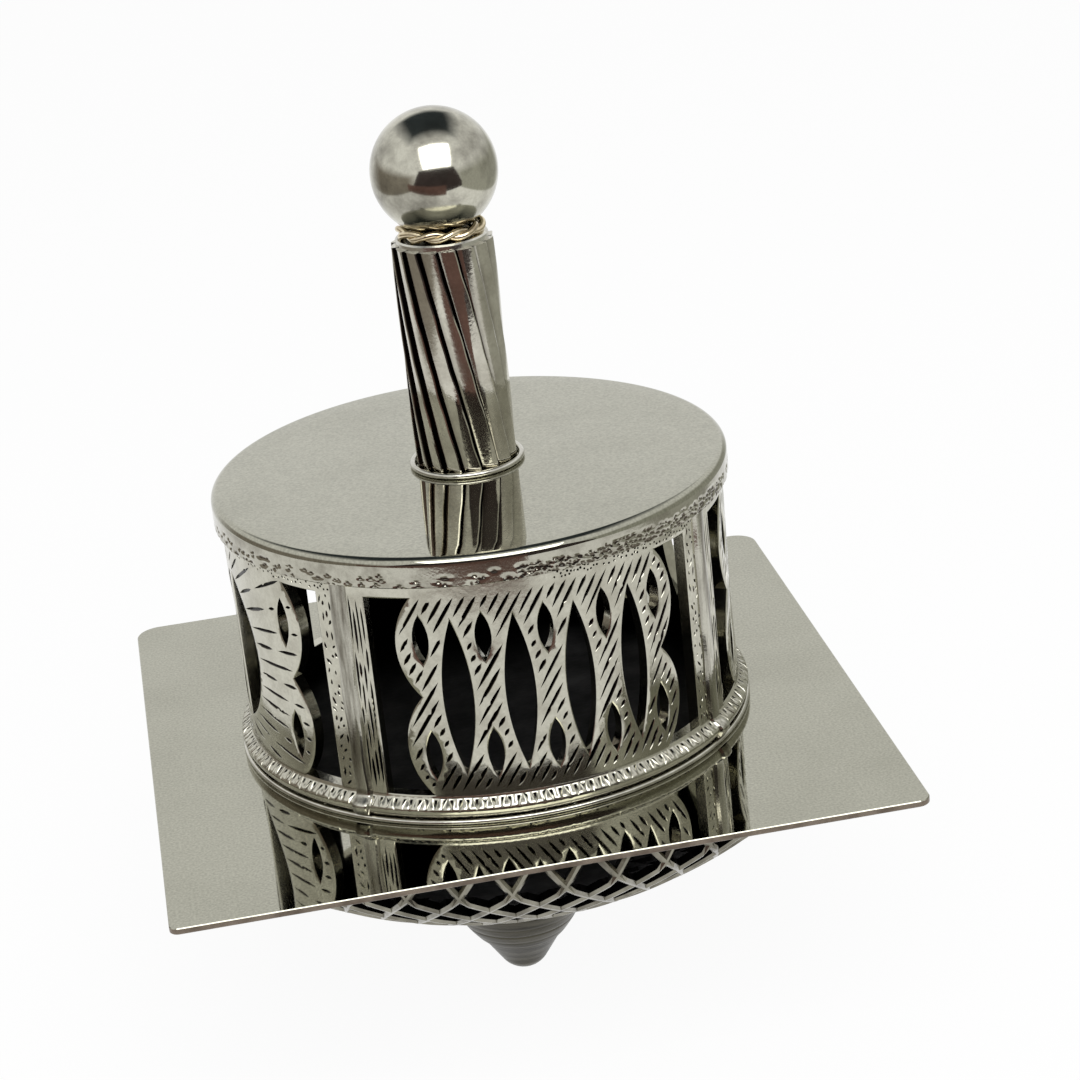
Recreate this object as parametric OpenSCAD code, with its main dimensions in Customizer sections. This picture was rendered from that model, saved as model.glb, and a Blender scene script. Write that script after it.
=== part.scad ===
// Four-sided spinning top in sheet silver: a pierced drum on a square plate,
// a lattice dome and a turned tip below it, a fluted stem and a ball above it.
// The origin is the lowest point of the tip, the spin axis is +Z, and the front side faces -Y.

/* [Tip] */
// Distance from the end of the tip to the lowest point of the dome's sphere
tip_drop = 9.6; // [8:0.2:14]
// Radius of the rounded end that the top spins on
tip_end_r = 2.3; // [1.6:0.1:2.6]
// Radius of the tip at its neck
tip_neck_r = 3.3; // [2.9:0.1:4]
// Height of the neck above the end
tip_neck_h = 3.2; // [3:0.1:5]
// Radius of the flared foot that is soldered to the dome
tip_root_r = 7.5; // [5.5:0.1:9]
// How the flare opens above the neck: 1 is a plain cone, less is fuller
tip_flare_power = 0.8; // [0.7:0.05:1.5]
// Thickness of the flared foot at its edge
tip_root_edge = 0.4; // [0.2:0.1:0.8]
// Radius of the spigot that locates the tip in the dome
tip_spigot_r = 2.4; // [1.5:0.1:2.8]
// Length of the spigot that stands above the dome inside
tip_spigot_stand = 0.8; // [0.4:0.1:2]

/* [Dome] */
// Radius of the dome at its rim
dome_rim_r = 27.7; // [25:0.1:28]
// Depth of the dome's spherical part
dome_depth = 11.5; // [9:0.5:14]
// Height of the upright rim band
dome_skirt_h = 2.4; // [1.8:0.1:3]
// Thickness of the dome's sheet
dome_t = 0.8; // [0.5:0.1:1.2]
// Number of lattice openings round the dome
lattice_cells = 44; // [24:2:46]
// Turn of the lattice about the spin axis, in degrees
lattice_turn = 1.1; // [-4:0.1:4]
// Rows of whole openings below the rim band
lattice_rows = 6; // [3:1:6]
// Distance between two rows of openings along the dome
lattice_row_pitch = 2.9; // [2.4:0.1:3.2]
// Distance from the rim band to the middle of the first whole row
lattice_first_row = 2.4; // [2.2:0.1:3]
// Width of the lattice's bars
lattice_bar = 0.6; // [0.45:0.05:0.8]
// Plain edge above the row that the rim band cuts short
lattice_border = 0.4; // [0.3:0.1:1]

/* [Plate] */
// Side of the square plate
plate_side = 56.4; // [56:0.2:64]
// Thickness of the plate
plate_t = 0.5; // [0.4:0.1:1.2]
// Corner radius of the plate
plate_corner_r = 2; // [0.5:0.1:4]

/* [Drum] */
// Outer radius of the drum's wall
drum_r = 19.8; // [18.5:0.1:21]
// Height from the plate to the top of the cover
drum_h = 21.5; // [20.5:0.1:24]
// Thickness of the drum's wall
wall_t = 1; // [0.7:0.1:1.4]
// Turn of the drum on the plate, in degrees
drum_turn = 6.2; // [-8:0.2:8]
// Joint between two neighbouring panels
panel_gap = 0.06; // [0.02:0.01:0.2]
// Height of the swelled foot of the wall
foot_h = 2; // [1.6:0.1:2.1]
// How far the swelled foot stands out from the wall
foot_proud = 0.8; // [0.6:0.05:1.2]
// Radius of the wire round the foot
foot_wire_r = 0.2; // [0.15:0.01:0.22]

/* [Piercing] */
// Height of the openings' lower edge above the plate
opening_low = 2.1; // [2.1:0.1:3]
// Height of the openings' upper edge above the plate
opening_high = 18.2; // [17:0.1:18.6]
// Width of a post between two panels' side slots
post_w = 4.2; // [3.4:0.1:5]
// Width of a side slot where the cartouche is widest
slot_w = 2.15; // [1.6:0.05:2.6]
// Radius of the cartouche's side lobes
lobe_r = 6; // [5:0.1:7]
// Height of the upper lobe's centre below the openings' upper edge
lobe_drop = 3.9; // [3.4:0.1:4.4]
// Height of the lower lobe's centre above the openings' lower edge
lobe_rise = 4.1; // [3.6:0.1:4.6]
// Length of the tall leaves
leaf_len = 12.6; // [10:0.1:13.6]
// Width shared out between the tall leaves of a panel
leaf_sum = 9.2; // [7:0.1:10]
// Width of the frieze, from the first bud to the last
frieze_w = 18.7; // [17:0.1:19]
// Width of the rib down the middle of a broad leaf
leaf_rib = 0.9; // [0.6:0.1:1.4]
// Length of a bud
bud_len = 4; // [3:0.1:4.4]
// Width of a bud
bud_w = 1.25; // [0.8:0.05:1.5]
// Height of the buds above and below the middle of the frieze
bud_lift = 4.7; // [4:0.1:5]

/* [Seam strips] */
// Width of the strip that covers a joint between panels
strip_w = 1.4; // [1:0.1:2]
// How far the strip stands out from the wall
strip_proud = 0.35; // [0.2:0.05:0.45]

/* [Cover] */
// Thickness of the cover's sheet
cover_t = 0.6; // [0.4:0.1:1]
// Thickness of the cover's turned-down rim
cover_rim_t = 0.45; // [0.4:0.05:0.8]
// Height of the turned-down rim
cover_rim_h = 2.3; // [1.6:0.1:2.5]
// Radius of the cover's rounded edge
cover_edge_r = 0.4; // [0.2:0.05:0.4]
// Room between the rim and the drum's wall
cover_gap = 0.1; // [0.05:0.01:0.2]

/* [Stem] */
// Radius of the stem over its lands
stem_r = 4; // [3.4:0.1:4.6]
// Length of the stem tube
stem_len = 18; // [14:0.5:24]
// Radius of the stem tube's bore
stem_bore_r = 2.9; // [2:0.1:3]
// Number of spiral flutes
stem_flutes = 16; // [10:1:18]
// Depth of the grooves between the flutes
stem_groove = 0.32; // [0.15:0.01:0.4]
// Turn of a flute from the foot of the stem to its head, in degrees
stem_twist = 48; // [20:2:70]
// Radius of the wire round the foot of the stem
base_wire_r = 0.24; // [0.2:0.02:0.5]
// Thickness of the disc that closes the head of the stem
cap_t = 0.5; // [0.4:0.1:0.8]
// How far the disc stays inside the lands
cap_inset = 0.1; // [0.05:0.01:0.3]

/* [Ball] */
// Radius of the ball
ball_r = 4.88; // [4.4:0.01:5.4]
// Thickness of the ball's shell
ball_t = 0.5; // [0.4:0.05:0.8]
// Radius of the vent hole under the ball
ball_vent_r = 0.6; // [0.4:0.1:0.8]
// Radius of the twisted wire under the ball
collar_wire_r = 0.55; // [0.4:0.01:0.6]

/* [Hidden] */
// Room left for solder between curved faces
solder_gap = 0.05;
// Overrun of a cut past the faces that it goes through
overrun = 1;
// The angle that an arc of this length takes on the drum's wall
function drum_angle(arc_len) = arc_len / drum_r * 180 / PI;
// Height of the widest place of the swelled foot, and how far its lower edge is tucked in
foot_peak_share = 0.6;
foot_tuck_share = 0.95;
foot_steps = 10;
// Width of a land, as a share of the flute's pitch
land_share = 0.8;
stem_slices = 18;
// Panels with this many leaves or fewer have ribbed leaves
ribbed_count = 2;
arc_steps = 12;

// Levels along the spin axis
skirt_low_z = tip_drop + dome_depth;
plate_low_z = skirt_low_z + dome_skirt_h;
plate_top_z = plate_low_z + plate_t;
cover_top_z = plate_top_z + drum_h;
wall_top_z = cover_top_z - cover_t;
rim_low_z = cover_top_z - cover_rim_h;
stem_top_z = cover_top_z + stem_len;
cap_top_z = stem_top_z + cap_t;
ball_z = cap_top_z + ball_r + solder_gap;

// The dome's sphere
dome_r = (pow(dome_rim_r, 2) + pow(dome_depth, 2)) / (2 * dome_depth);
dome_z = tip_drop + dome_r;
dome_rim_angle = asin(dome_rim_r / dome_r);
row_angle_step = lattice_row_pitch / dome_r * 180 / PI;
row_angle_first = dome_rim_angle - lattice_first_row / dome_r * 180 / PI;

// The tip's outline
tip_root_z = dome_z - sqrt(pow(dome_r, 2) - pow(tip_root_r, 2));
tip_neck_far = norm([tip_neck_r, tip_neck_h - tip_end_r]);
tip_tangent = atan2(tip_neck_h - tip_end_r, tip_neck_r) - acos(tip_end_r / tip_neck_far);

// Radii that one piece takes from another
cover_r = drum_r + cover_gap + cover_rim_t;
wall_in_r = drum_r - wall_t;
foot_wire_ring_r = drum_r + foot_proud - foot_wire_r + solder_gap;
base_ring_r = stem_r + base_wire_r + solder_gap;
collar_ring_r = 2 * sqrt(ball_r * collar_wire_r) + solder_gap;

// Middle angles and spans of the drum's sides
side_turn = 90;
panel_span = side_turn - drum_angle(panel_gap);
slot_out_angle = side_turn / 2 - drum_angle(post_w / 2);
lobe_edge_angle = slot_out_angle - drum_angle(slot_w);
frieze_z = plate_top_z + (opening_low + opening_high) / 2;

$fn = 96;

// Turned tip: a round end, a short cone, a full flare that fits the dome, and a spigot
module tip() {
    end_arc = [for (i = [0 : arc_steps])
        let (a = -90 + (tip_tangent + 90) * i / arc_steps)
        [tip_end_r * cos(a), tip_end_r + tip_end_r * sin(a)]];
    flare = [for (i = [0 : arc_steps])
        let (rise = i / arc_steps)
        [tip_neck_r + (tip_root_r - tip_neck_r) * pow(rise, tip_flare_power),
         tip_neck_h + (tip_root_z - tip_root_edge - tip_neck_h) * rise]];
    color("#8f8c84") {
        difference() {
            rotate_extrude()
                polygon(concat(end_arc, flare, [[tip_root_r, tip_root_z], [0, tip_root_z]]));
            translate([0, 0, dome_z])
                sphere(dome_r);
        }
        translate([0, 0, tip_neck_h])
            cylinder(h = tip_drop - tip_neck_h + dome_t + tip_spigot_stand, r = tip_spigot_r);
    }
}

// Opening of the lattice: a diamond inset by half a bar on every side, cut flat at high_end
module lattice_diamond(half_w, half_h, high_end) {
    inset_share = 1 - lattice_bar / 2 * norm([half_w, half_h]) / (half_w * half_h);
    w = half_w * inset_share;
    h = half_h * inset_share;
    cut_w = w * (1 - high_end / h);
    top = high_end < h ? [[high_end, -cut_w], [high_end, cut_w]] : [[h, 0]];
    polygon(concat([[-h, 0], [0, -w]], top, [[0, w]]));
}

// Cut through the dome's sheet at a point of its outline, facing out at an angle from the spin axis
module dome_cut(axis_angle, ring_r, ring_z, lift, high_end) {
    translate([ring_r, 0, ring_z])
        rotate([0, 180 - axis_angle, 0])
            rotate([0, 0, 180])
                translate([lift, 0, -dome_t - overrun])
                    linear_extrude(dome_t + 2 * overrun)
                        lattice_diamond(PI * ring_r / lattice_cells, lattice_row_pitch, high_end);
}

// Domed sheet, saw-pierced into a lattice that thins out towards the tip
module dome_lattice() {
    cell_turn = 360 / lattice_cells;
    bend_angle = (dome_rim_angle + 90) / 2;
    rim_tilt = 90 - bend_angle;
    rim_row_lift = lattice_row_pitch - lattice_first_row;
    border_low = (dome_skirt_h - lattice_border) * cos(rim_tilt) - dome_t * sin(rim_tilt);
    rim_row_end = border_low - rim_row_lift;
    color("#a9a79d")
    difference() {
        union() {
            intersection() {
                translate([0, 0, dome_z])
                    sphere(dome_r);
                cylinder(h = skirt_low_z, r = dome_rim_r);
            }
            translate([0, 0, skirt_low_z])
                cylinder(h = dome_skirt_h, r = dome_rim_r);
        }
        intersection() {
            translate([0, 0, dome_z])
                sphere(dome_r - dome_t);
            cylinder(h = plate_low_z + overrun, r = dome_rim_r - dome_t);
        }
        cylinder(h = skirt_low_z, r = tip_spigot_r + solder_gap);
        for (cell = [0 : lattice_cells - 1])
            rotate([0, 0, lattice_turn + cell_turn * (cell - 1 / 2)])
                dome_cut(bend_angle, dome_rim_r, skirt_low_z, rim_row_lift, rim_row_end);
        for (row = [0 : lattice_rows - 1], cell = [0 : lattice_cells - 1])
            let (a = row_angle_first - row * row_angle_step)
            rotate([0, 0, lattice_turn + cell_turn * (cell + (row % 2) / 2)])
                dome_cut(a, dome_r * sin(a), dome_z - dome_r * cos(a), 0, lattice_row_pitch);
    }
}

// Square plate with rounded corners
module square_plate() {
    inner = plate_side - 2 * plate_corner_r;
    color("#b4b3a8")
    translate([0, 0, plate_low_z])
        linear_extrude(plate_t)
            union() {
                square([plate_side, inner], center = true);
                square([inner, plate_side], center = true);
                for (x = [-inner / 2, inner / 2], y = [-inner / 2, inner / 2])
                    translate([x, y])
                        circle(plate_corner_r);
            }
}

// Outward swell of the foot, as a share of its full size, at a share of its height
function foot_swell(t) = t < foot_peak_share
    ? 1 - foot_tuck_share * pow((foot_peak_share - t) / foot_peak_share, 2)
    : pow(cos(90 * (t - foot_peak_share) / (1 - foot_peak_share)), 2);

// Outer outline of the wall from low_z up, moved out by proud
function wall_outline(proud, low_z, high_z) = concat(
    [for (i = [0 : foot_steps])
        let (t = i / foot_steps)
        if (plate_top_z + foot_h * t >= low_z)
            [drum_r + foot_proud * foot_swell(t) + proud, plate_top_z + foot_h * t]],
    [[drum_r + proud, high_z]]);

// Places a flat outline on the wall at an angle and a height, and drives it through
module wall_cut(angle, z) {
    rotate([0, 0, angle])
        translate([0, -wall_in_r + overrun, z])
            rotate([90, 0, 0])
                linear_extrude(wall_t + 2 * overrun)
                    children();
}

// Pointed leaf between two arcs, upright and centred
module leaf(length, width) {
    arc_r = (pow(length, 2) + pow(width, 2)) / (4 * width);
    intersection() {
        translate([arc_r - width / 2, 0])
            circle(arc_r);
        translate([width / 2 - arc_r, 0])
            circle(arc_r);
    }
}

// Side slot: the space between the post and the two lobes of the cartouche
module side_slot(hand) {
    mid_angle = (slot_out_angle + lobe_edge_angle) / 2;
    out_x = drum_r * sin(slot_out_angle - mid_angle);
    lobe_x = drum_r * sin(lobe_edge_angle - mid_angle) - lobe_r;
    wall_cut(hand * mid_angle, plate_top_z)
        scale([hand, 1])
            difference() {
                translate([lobe_x, opening_low])
                    square([out_x - lobe_x, opening_high - opening_low]);
                translate([lobe_x, opening_high - lobe_drop])
                    circle(lobe_r);
                translate([lobe_x, opening_low + lobe_rise])
                    circle(lobe_r);
            }
}

// Frieze of tall leaves with buds between them, above and below
module leaf_frieze(count) {
    pitch = drum_angle(frieze_w) / count;
    for (i = [0 : count - 1])
        wall_cut((i - (count - 1) / 2) * pitch, frieze_z)
            difference() {
                leaf(leaf_len, leaf_sum / count);
                if (count <= ribbed_count)
                    square([leaf_rib, leaf_len], center = true);
            }
    for (i = [0 : count], v = [-bud_lift, bud_lift])
        wall_cut((i - count / 2) * pitch, frieze_z + v)
            leaf(bud_len, bud_w);
}

// One pierced side of the drum, with half a post at each end and a count of leaves
module panel(side, count) {
    color("#adaba0")
    rotate([0, 0, drum_turn + side * side_turn])
        difference() {
            rotate([0, 0, -90 - panel_span / 2])
                rotate_extrude(angle = panel_span)
                    polygon(concat(
                        wall_outline(0, plate_top_z, wall_top_z),
                        [[wall_in_r, wall_top_z], [wall_in_r, plate_top_z]]));
            for (hand = [-1, 1])
                side_slot(hand);
            leaf_frieze(count);
        }
}

// Strip over the joint between a side and the next one
module seam_strip(side) {
    span = drum_angle(strip_w);
    low_z = plate_top_z + 2 * foot_wire_r + solder_gap;
    high_z = rim_low_z - solder_gap;
    inner = wall_outline(0, low_z, high_z);
    outer = wall_outline(strip_proud, low_z, high_z);
    color("#bab8ad")
    rotate([0, 0, drum_turn + (side + 1 / 2) * side_turn - 90 - span / 2])
        rotate_extrude(angle = span)
            polygon(concat(outer, [for (i = [len(inner) - 1 : -1 : 0]) inner[i]]));
}

// Ring of round wire lying on a level
module wire_ring(ring_r, wire_r, z) {
    translate([0, 0, z + wire_r])
        rotate_extrude()
            translate([ring_r, 0])
                circle(wire_r, $fn = 32);
}

// Wire soldered into the corner between the wall and the plate
module foot_wire() {
    color("#bab8ad")
        wire_ring(foot_wire_ring_r, foot_wire_r, plate_top_z);
}

// Flat cover with a turned-down rim that slips over the wall
module top_cover() {
    edge = [for (i = [0 : arc_steps])
        let (a = 90 - 90 * i / arc_steps)
        [cover_r + cover_edge_r * (cos(a) - 1), cover_top_z + cover_edge_r * (sin(a) - 1)]];
    rim_in_r = cover_r - cover_rim_t;
    color("#b4b3a8")
    rotate_extrude()
        polygon(concat(
            [[0, wall_top_z], [0, cover_top_z]],
            edge,
            [[cover_r, rim_low_z], [rim_in_r, rim_low_z], [rim_in_r, wall_top_z]]));
}

// Plain wire round the foot of the stem
module stem_base_ring() {
    color("#bab8ad")
        wire_ring(base_ring_r, base_wire_r, cover_top_z);
}

// Section of the stem: flat lands with a sharp groove between two of them
module stem_section() {
    pitch = 360 / stem_flutes;
    land = pitch * land_share;
    groove_r = stem_r - stem_groove;
    polygon([for (i = [0 : stem_flutes - 1])
        each [
            stem_r * [cos(i * pitch - land / 2), sin(i * pitch - land / 2)],
            stem_r * [cos(i * pitch + land / 2), sin(i * pitch + land / 2)],
            groove_r * [cos((i + 1 / 2) * pitch), sin((i + 1 / 2) * pitch)]
        ]]);
}

// Fluted tube, twisted about the spin axis
module stem_tube() {
    color("#a29d94")
    difference() {
        translate([0, 0, cover_top_z])
            linear_extrude(stem_len, twist = stem_twist, slices = stem_slices)
                stem_section();
        translate([0, 0, cover_top_z - overrun])
            cylinder(h = stem_len + 2 * overrun, r = stem_bore_r);
    }
}

// Disc that closes the head of the stem
module stem_cap() {
    color("#b4b3a8")
    translate([0, 0, stem_top_z])
        cylinder(h = cap_t, r = stem_r - stem_groove - cap_inset);
}

// Ring of twisted wire in the corner between the disc and the ball
module ball_collar() {
    color("#b5a98f")
        wire_ring(collar_ring_r, collar_wire_r, cap_top_z);
}

// Half of the hollow ball, cut at its soldered equator
module ball_half(up) {
    difference() {
        intersection() {
            translate([0, 0, ball_z])
                sphere(ball_r);
            translate([0, 0, up ? ball_z : ball_z - ball_r])
                cylinder(h = ball_r, r = ball_r);
        }
        translate([0, 0, ball_z])
            sphere(ball_r - ball_t);
        if (!up)
            translate([0, 0, ball_z - ball_r - overrun])
                cylinder(h = ball_r, r = ball_vent_r);
    }
}

module ball_lower_half() {
    color("#b4b3a8")
        ball_half(false);
}

module ball_upper_half() {
    color("#b4b3a8")
        ball_half(true);
}

tip();
dome_lattice();
square_plate();
panel(0, 4);  // panel_front
panel(1, 3);  // panel_right
panel(2, 2);  // panel_back
panel(3, 1);  // panel_left
foot_wire();
seam_strip(0);  // seam_strip_front_right
seam_strip(1);  // seam_strip_back_right
seam_strip(2);  // seam_strip_back_left
seam_strip(3);  // seam_strip_front_left
top_cover();
stem_base_ring();
stem_tube();
stem_cap();
ball_collar();
ball_lower_half();
ball_upper_half();
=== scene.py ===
import math

import bmesh
import bpy
import numpy as np
from mathutils import Matrix, Vector, geometry


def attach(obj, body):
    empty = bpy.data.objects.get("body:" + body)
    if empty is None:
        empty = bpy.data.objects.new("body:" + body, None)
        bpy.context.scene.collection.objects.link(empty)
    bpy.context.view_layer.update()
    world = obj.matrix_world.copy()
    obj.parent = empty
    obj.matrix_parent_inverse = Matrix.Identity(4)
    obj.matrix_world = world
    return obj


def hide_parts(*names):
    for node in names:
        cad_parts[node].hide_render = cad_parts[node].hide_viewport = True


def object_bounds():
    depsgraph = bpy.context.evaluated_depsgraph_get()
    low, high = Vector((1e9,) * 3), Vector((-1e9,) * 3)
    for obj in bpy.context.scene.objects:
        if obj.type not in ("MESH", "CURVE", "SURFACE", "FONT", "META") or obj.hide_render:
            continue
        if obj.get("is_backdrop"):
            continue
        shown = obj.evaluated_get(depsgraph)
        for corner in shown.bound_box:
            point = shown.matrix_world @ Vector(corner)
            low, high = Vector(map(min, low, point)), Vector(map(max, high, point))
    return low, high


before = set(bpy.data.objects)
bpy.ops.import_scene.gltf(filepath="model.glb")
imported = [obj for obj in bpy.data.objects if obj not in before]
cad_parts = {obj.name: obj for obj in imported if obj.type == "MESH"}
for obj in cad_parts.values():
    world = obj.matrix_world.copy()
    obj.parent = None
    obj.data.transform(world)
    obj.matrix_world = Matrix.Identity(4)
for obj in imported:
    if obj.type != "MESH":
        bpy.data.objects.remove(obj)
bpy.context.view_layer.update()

# Tip: the foot that the top spins on. It is cast in sterling silver, turned to a
# blunt bullet with a flared root, and soldered under the dome over a short spigot.
# Use has left it dull, with the rings of the turning tool still to be seen.
MM = 0.001


def linear(hex_code):
    """An sRGB hex colour as linear RGBA."""
    parts = [int(hex_code[i:i + 2], 16) / 255 for i in (1, 3, 5)]
    return [p / 12.92 if p <= 0.04045 else ((p + 0.055) / 1.055) ** 2.4 for p in parts] + [1]


def add(tree, kind, settings=(), links=()):
    """Adds a node. Settings are input values or properties, links give each input its (node, output)."""
    node = tree.nodes.new(kind)
    for key, value in dict(settings).items():
        if isinstance(key, int) or key in node.inputs:
            node.inputs[key].default_value = value
        else:
            setattr(node, key, value)
    for key, (source, output) in dict(links).items():
        tree.links.new(source.outputs[output], node.inputs[key])
    return node


def cleared(holder):
    """The emptied node tree of a material or world."""
    holder.use_nodes = True
    holder.node_tree.nodes.clear()
    return holder.node_tree


def silver(name, bright, dull, rough, spread, grain_mm, relief_mm, cloud_mm=5.0, speck=0.06,
           streak=(1, 1, 1), hollow_shade=None):
    """Sterling silver: clouds between a bright and a dull tone, which stand for tarnish on most pieces and
    for painted shade on some, over the grain that the last abrasive left, drawn coarser than real so that it
    shows. The clouds move the roughness by spread, the grain mottles the tone by speck, and streak draws the
    clouds out along an axis.
    Given a shade colour, painted shade darkens the tone in the bottom of each cut, groove or dent."""
    noise_low, noise_high, tarnish_and_shade_low = 0.3, 0.7, 0.42
    hollow_shade_low, hollow_shade_high = 0.05, 0.35
    made = bpy.data.materials.new(name)
    tree = cleared(made)
    spot = add(tree, "ShaderNodeTexCoord")
    drawn = add(tree, "ShaderNodeMapping", {"Scale": streak}, {"Vector": (spot, "Object")})
    clouds = add(tree, "ShaderNodeTexNoise", {"Scale": 1 / (cloud_mm * MM), "Detail": 5.0, "Roughness": 0.6},
                 {"Vector": (drawn, 0)})
    grain = add(tree, "ShaderNodeTexNoise", {"Scale": 1 / (grain_mm * MM), "Detail": 2.0},
                {"Vector": (spot, "Object")})
    tarnish_and_shade = add(tree, "ShaderNodeMapRange", {"From Min": tarnish_and_shade_low, "From Max": noise_high},
                  {"Value": (clouds, 0)})
    tone = add(tree, "ShaderNodeMix", {"data_type": "RGBA", 6: linear(bright), 7: linear(dull)},
               {0: (tarnish_and_shade, 0)})
    mottle = add(tree, "ShaderNodeMapRange",
                 {"From Min": noise_low, "From Max": noise_high, "To Min": 1 - speck, "To Max": 1 + speck},
                 {"Value": (grain, 0)})
    tone = add(tree, "ShaderNodeMix", {"data_type": "RGBA", "blend_type": "MULTIPLY", 0: 1.0},
               {6: (tone, 2), 7: (mottle, 0)})
    # Painted shade: the tone is pulled toward the shade colour in the bottom of each cut, groove or dent
    if hollow_shade:
        cut = add(tree, "ShaderNodeAttribute", {"attribute_name": "groove"})
        hollow_shade_share = add(tree, "ShaderNodeMapRange", {"From Min": hollow_shade_low, "From Max": hollow_shade_high},
                     {"Value": (cut, "Fac")})
        tone = add(tree, "ShaderNodeMix", {"data_type": "RGBA", 7: linear(hollow_shade)},
                   {0: (hollow_shade_share, 0), 6: (tone, 2)})
    polish = add(tree, "ShaderNodeMapRange",
                 {"From Min": noise_low, "From Max": noise_high,
                  "To Min": rough - spread, "To Max": rough + spread}, {"Value": (clouds, 0)})
    relief = add(tree, "ShaderNodeBump", {"Strength": 1.0, "Distance": relief_mm * MM},
                 {"Height": (grain, 0)})
    shader = add(tree, "ShaderNodeBsdfPrincipled", {"Metallic": 1.0},
                 {"Base Color": (tone, 2), "Roughness": (polish, 0), "Normal": (relief, "Normal")})
    add(tree, "ShaderNodeOutputMaterial", {}, {"Surface": (shader, "BSDF")})
    return made


def turned(profile, steps, closed=False):
    """Points and faces of a profile of (radius, height) turned about the spin axis.
    The faces come row by row, as many to a row as there are steps."""
    points, rows = [], []
    around = [2 * math.pi * i / steps for i in range(steps)]
    for r, z in profile:
        first = len(points)
        points += [(r * math.sin(a), -r * math.cos(a), z) for a in (around if r else [0])]
        rows.append(range(first, len(points)))
    return points, skin(rows, closed)


def skin(rows, closed=False):
    """Faces between rows of points, given by their ids. Each row runs round; an end may be one point."""
    faces = []
    for low, high in zip(rows, rows[1:] + (rows[:1] if closed else [])):
        steps = max(len(low), len(high))
        for i in range(steps):
            j = (i + 1) % steps
            if len(low) == 1:
                faces.append((low[0], high[i], high[j]))
            elif len(high) == 1:
                faces.append((low[i], low[j], high[0]))
            else:
                faces.append((low[i], low[j], high[j], high[i]))
    return faces


def piece(name, node, slot, points, faces, finishes, which=None, groove=None, sharp=32):
    """A closed mesh in millimetres that stands for a CAD node and rides with it.
    Which gives each face its finish, and groove each point its share of painted shade in a cut, groove or
    dent.
    Edges that turn by more than sharp, in degrees, stay crisp."""
    mesh = bpy.data.meshes.new(name)
    mesh.from_pydata((np.asarray(points, float) * MM).tolist(), [], [list(f) for f in faces])
    for finish in finishes:
        mesh.materials.append(finish)
    if which is not None:
        mesh.polygons.foreach_set("material_index", np.asarray(which, np.int32))
    if groove is not None:
        layer = mesh.attributes.new("groove", "FLOAT", "POINT")
        layer.data.foreach_set("value", np.asarray(groove, np.float32))
    work = bmesh.new()
    work.from_mesh(mesh)
    bmesh.ops.recalc_face_normals(work, faces=work.faces)
    work.to_mesh(mesh)
    work.free()
    mesh.shade_smooth()
    mesh.set_sharp_from_angle(angle=math.radians(sharp))
    made = bpy.data.objects.new(name, mesh)
    bpy.context.scene.collection.objects.link(made)
    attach(made, "root")
    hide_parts(node)
    return made


dome_rim_r, dome_depth, dome_skirt_h, dome_t = 27.7, 11.5, 2.4, 0.8
tip_drop, tip_end_r, tip_neck_r, tip_neck_h, tip_flare_power = 9.6, 2.3, 3.3, 3.2, 0.8
tip_root_r, tip_root_edge, tip_spigot_r, tip_spigot_top = 7.5, 0.4, 2.4, 11.2
nose_first, nose_steps, flare_steps = 0.04, 24, 72
seat_inset, seat_steps, tip_sides = 0.5, 6, 96
# Rings of the turning tool: the height and depth of each, and their width
tool_rings = [(2.6, 0.03), (3.5, 0.05), (4.3, 0.03), (5.2, 0.06), (6.1, 0.03), (7.4, 0.05), (8.7, 0.03)]
tool_width = 0.09
dome_r = (dome_rim_r ** 2 + dome_depth ** 2) / (2 * dome_depth)
dome_z = tip_drop + dome_r
tip_root_z = dome_z - math.sqrt(dome_r ** 2 - tip_root_r ** 2)
tangent = (math.atan2(tip_neck_h - tip_end_r, tip_neck_r)
           - math.acos(tip_end_r / math.hypot(tip_neck_r, tip_neck_h - tip_end_r)))
bullet = []
for share in np.linspace(nose_first, 1, nose_steps):
    a = -math.pi / 2 + (tangent + math.pi / 2) * share
    bullet.append((tip_end_r * math.cos(a), tip_end_r * (1 + math.sin(a))))
for share in np.linspace(0, 1, flare_steps):
    bullet.append((tip_neck_r + (tip_root_r - tip_neck_r) * share ** tip_flare_power,
                   tip_neck_h + (tip_root_z - tip_root_edge - tip_neck_h) * share))
bullet = [(r - sum(deep * math.exp(-((z - at) / tool_width) ** 2) for at, deep in tool_rings), z)
          for r, z in bullet]
bullet = [(0.0, 0.0)] + bullet + [(tip_root_r, tip_root_z)]
for r in np.linspace(tip_root_r - seat_inset, tip_spigot_r, seat_steps):
    bullet.append((float(r), dome_z - math.sqrt(dome_r ** 2 - r ** 2)))
bullet += [(tip_spigot_r, tip_spigot_top), (0.0, tip_spigot_top)]
# Cast silver, turned and worn dull: a soft olive grey with darker rings, drawn round it by the tool
dull_cast = silver("cast_silver_dull", "#4e4b41", "#2d2b25", 0.36, 0.06, 0.2, 0.012, cloud_mm=3.0,
                   streak=(0.5, 0.5, 5.0))
piece("tip_turned", "tip", "cast_tip", *turned(bullet, tip_sides), [dull_cast])

# Lattice dome: a disc of silver sheet, sunk to a bowl with an upright rim, saw-pierced
# into diamonds and softened at its edges with a file. It is soldered under the plate,
# and its inside, which no polisher reaches, is black with oxide.
lattice_cells, lattice_rows, lattice_turn = 44, 6, math.radians(1.1)
lattice_pitch, lattice_first, lattice_bar, lattice_border = 2.9, 2.4, 0.6, 0.4
# Row in the bend: its foot, the level and half width of its middle, and the half width of its head
bend_foot, bend_mid, bend_wide, bend_head = 1.87, 0.5, 1.615, 0.52
# Small points between the heads of that row: their foot and half width
point_foot, point_wide = 1.02, 0.7
dome_file_w, dome_file_drop = 0.22, 0.22
solder_gap = 0.05
saw_step, spigot_sides, rim_sides = 0.8, 48, 440
centre_from, centre_to, centre_step, centre_sides = 3.4, 10.4, 0.7, 72


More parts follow.
